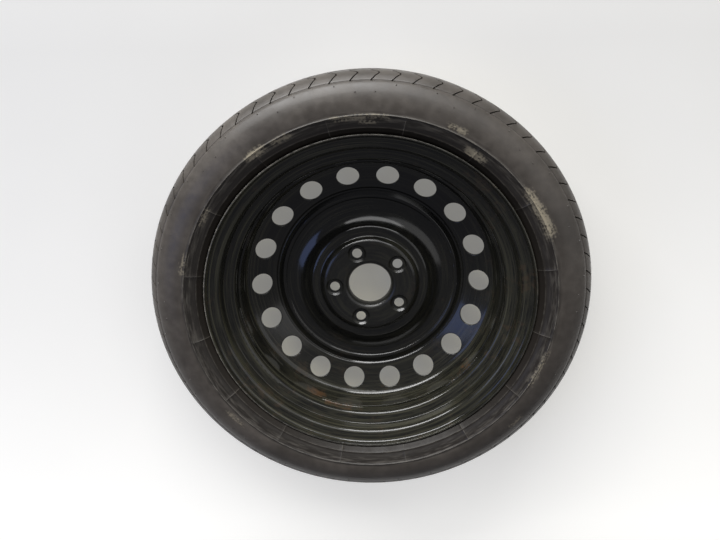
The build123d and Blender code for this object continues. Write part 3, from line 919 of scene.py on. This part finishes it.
class SPARE_OT_valve_spring(bpy.types.Operator):
    """Wind the spring of the valve core at one length; in the real valve it shortens as the pin is
    pressed in
    """

    bl_idname = "spare.valve_spring"
    bl_label = "Valve spring"

    def execute(self, context):
        colours = context.scene.spare_valve
        # The spring stands between the barrel's guide and the pin's collar
        guide, collar = 21.0 * MM, 30.7 * MM
        wire, radius, turns = 0.22 * MM, 0.825 * MM, 6
        length = collar - guide
        bpy.ops.object.select_all(action="DESELECT")
        bpy.ops.mesh.primitive_circle_add(
            vertices=10,
            radius=wire / 2,
            location=(radius, 0.0, guide + wire / 2),
            rotation=(pi / 2, 0.0, 0.0),
        )
        spring = context.active_object
        spring.name = spring.data.name = "wound_spring"
        bpy.ops.object.transform_apply(location=True, rotation=True, scale=True)
        winding = spring.modifiers.new("winding", "SCREW")
        winding.axis = "Z"
        winding.angle = 2 * pi
        winding.screw_offset = (length - wire) / turns
        winding.iterations = turns
        winding.steps = winding.render_steps = 20
        bpy.ops.object.modifier_apply(modifier=winding.name)
        bpy.ops.object.mode_set(mode="EDIT")
        bpy.ops.mesh.select_all(action="SELECT")
        bpy.ops.mesh.fill_holes(sides=0)
        repeat_round(1)
        stand_on_valve(spring)
        smooth(spring, 50)
        # Drawn spring wire: bright grey, with a thin hard highlight
        wear_finish(spring, small_part_finish("spring_steel", colours.spring, 0.8, 0.3, 1.5, 1.0))
        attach(spring, "wheel")
        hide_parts("valve_core_spring")
        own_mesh(spring)
        return {"FINISHED"}


class SPARE_OT_valve_parts(bpy.types.Operator):
    """Finish the cap and the parts of the valve core"""

    bl_idname = "spare.valve_parts"
    bl_label = "Valve cap and core"

    def execute(self, context):
        colours = context.scene.spare_valve
        # Bright drawn brass, a waxy off-white seal and a half matt black cap
        brass = small_part_finish("drawn_brass", colours.brass, 0.8, 0.26, 2, 1.0)
        finishes = {
            "valve_core_plug": brass,
            "valve_core_pin": brass,
            "valve_core_cup": brass,
            "valve_core_seal": small_part_finish("fluoropolymer", colours.seal, 0.85, 0.5, 2),
            "valve_cap": small_part_finish("moulded_nylon", colours.cap, 0.75, 0.42, 4),
        }
        for name, finish in finishes.items():
            wear_finish(frame["nodes"][name], finish)
        return {"FINISHED"}


def pale_floor_finish():
    """Matt painted floor: nearly white, and as pale to the camera as the photograph's ground."""
    colours = bpy.context.scene.spare_stage
    finish, node, place = begin_finish("matt_floor_paint")
    radius = wheel_radius(node, place)
    clouds = node("TexNoise", {"Vector": place, "Scale": 1 / (400 * MM), "Detail": 3.0})
    clouds = node("MapRange", (clouds, 0.3, 0.7), **EASED)
    shade = tuple(channel * 0.97 for channel in colours.floor[:3]) + (1.0,)
    coats = {0: clouds, MIX_A: shade, MIX_B: colours.floor}
    mixed = node("Mix", coats, MIX_COLOUR, data_type="RGBA")
    # Painted shade: the floor under the wheel, which shows through the vents, takes a warmer shadow
    # tint
    shadow_radius = 220 * MM
    beyond_shadow = node("MapRange", (radius, shadow_radius, 320 * MM), **EASED)
    coats = {0: beyond_shadow, MIX_A: colours.shadow_tint, MIX_B: mixed}
    mixed = node("Mix", coats, MIX_COLOUR, data_type="RGBA")
    # The lift that makes the floor pale to the eye fades out under the wheel, where its shadow lies
    # Painted light: the glow is strongest towards the bottom (-Y) and weakest towards the top
    nearer = node("SeparateXYZ", (place,), "Y")
    around = node("MapRange", (nearer, -0.5, 0.35, 0.72, 0.08))
    lift = node("MapRange", (radius, shadow_radius, 420 * MM, 0.26, around), **EASED)
    seen = 0.0
    for kind in ("Is Camera Ray", "Is Glossy Ray", "Is Transmission Ray"):
        ray = node("LightPath", {}, kind)
        seen = node("Math", (ray, seen), operation="MAXIMUM")
    lift = node("Math", (lift, seen), operation="MULTIPLY")
    inputs = {"Base Color": mixed, "Roughness": 0.8}
    end_finish(node, inputs | {"Emission Color": colours.backdrop, "Emission Strength": lift})
    return finish


def add_lamp(name, towards, distance, size, power, colour):
    """A soft rectangular lamp that looks at the wheel's middle from one direction."""
    bpy.ops.object.light_add(type="AREA")
    lamp = bpy.context.active_object
    lamp.name = name
    lamp.data.shape = "RECTANGLE"
    lamp.data.size, lamp.data.size_y = size
    lamp.data.energy = power
    lamp.data.color = colour[:3]
    lamp.visible_camera = False
    direction = Vector(towards).normalized()
    lamp.location = direction * distance
    lamp.rotation_euler = direction.to_track_quat("Z", "Y").to_euler()


class SPARE_OT_stage(bpy.types.Operator):
    """Lay the floor, hang the lamps and set the camera at the photograph's angle"""

    bl_idname = "spare.stage"
    bl_label = "Stage"

    def execute(self, context):
        stage = context.scene.spare_stage
        bpy.ops.object.select_all(action="DESELECT")
        bpy.ops.mesh.primitive_plane_add(size=24.0, location=(0.0, 0.0, cad_box[0][2]))
        floor = context.active_object
        floor.name = "floor"
        wear_finish(floor, pale_floor_finish())
        # Direction from the wheel, distance and size in metres, power in watts, and colour
        white = linear("#ffffff")
        add_lamp("key_lamp", (-0.25, 0.9, 0.42), 4.0, (4.4, 1.05), stage.key_power, white)
        add_lamp("window_lamp", (-0.70, 0.04, 0.71), 2.4, (1.0, 0.9), 5.5, stage.window)
        add_lamp("ceiling_panel", (0.08, 0.77, 0.64), 3.0, (3.2, 0.7), 24.0, white)
        add_lamp("wall_panel", (0.71, 0.33, 0.62), 2.2, (2.2, 1.6), 8.0, white)
        world = bpy.data.worlds.new("studio")
        context.scene.world = world
        world.use_nodes = True
        world.node_tree.nodes.clear()
        node = partial(add_node, world.node_tree)
        seen = node("LightPath", {}, "Is Camera Ray")
        dim = node("Background", {"Color": linear("#f4f4ff"), "Strength": 0.17})
        pale = node("Background", {"Color": stage.backdrop, "Strength": 1.0})
        sky = node("MixShader", (seen, dim, pale))
        node("OutputWorld", {"Surface": sky})
        bpy.ops.object.camera_add()
        camera = context.active_object
        camera.name = "photo_camera"
        camera.data.lens = stage.lens
        camera.data.sensor_width = 36.0
        camera.data.clip_start = 0.01
        camera.data.dof.use_dof = False
        # The camera's axes and place, as fitted to the photograph
        back = Vector((0.0252, 0.3236, 0.9460)).normalized()
        right = Vector((0.9995, -0.0254, -0.0182))
        right = (right - back * right.dot(back)).normalized()
        up = back.cross(right)
        camera.rotation_euler = Matrix((right, up, back)).transposed().to_euler()
        camera.location = (7.7 * MM, 312.1 * MM, 839.3 * MM)
        context.scene.camera = camera
        context.scene.view_settings.view_transform = "Standard"
        return {"FINISHED"}


class SPARE_PT_panel(bpy.types.Panel):
    """Lists the pieces of the spare wheel"""

    bl_idname = "SPARE_PT_panel"
    bl_label = "Spare wheel"
    bl_space_type = "VIEW_3D"
    bl_region_type = "UI"
    bl_category = "Spare wheel"

    def draw(self, context):
        for operator in OPERATORS:
            self.layout.operator(operator.bl_idname)
        for settings in SETTINGS:
            group = getattr(context.scene, settings)
            box = self.layout.box()
            for name in group.__annotations__:
                box.prop(group, name)


OPERATORS = (
    SPARE_OT_tyre,
    SPARE_OT_wheel,
    SPARE_OT_welds,
    SPARE_OT_valve_rubber,
    SPARE_OT_valve_stem,
    SPARE_OT_valve_spring,
    SPARE_OT_valve_parts,
    SPARE_OT_stage,
)
SETTINGS = {
    "spare_tyre": SPARE_PG_tyre,
    "spare_steel": SPARE_PG_steel,
    "spare_valve": SPARE_PG_valve,
    "spare_stage": SPARE_PG_stage,
}
CLASSES = (*SETTINGS.values(), *OPERATORS, SPARE_PT_panel)


def register():
    """Register the classes and hang the settings on the scene."""
    for each in CLASSES:
        bpy.utils.register_class(each)
    for name, group in SETTINGS.items():
        setattr(bpy.types.Scene, name, bpy.props.PointerProperty(type=group))


def unregister():
    """Take the settings and the classes away again."""
    for name in SETTINGS:
        delattr(bpy.types.Scene, name)
    for each in reversed(CLASSES):
        bpy.utils.unregister_class(each)


def main():
    """Register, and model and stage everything."""
    register()
    bpy.ops.spare.tyre()
    bpy.ops.spare.wheel()
    bpy.ops.spare.welds()
    bpy.ops.spare.valve_rubber()
    bpy.ops.spare.valve_stem()
    bpy.ops.spare.valve_spring()
    bpy.ops.spare.valve_parts()
    bpy.ops.spare.stage()


if __name__ == "__main__":
    main()
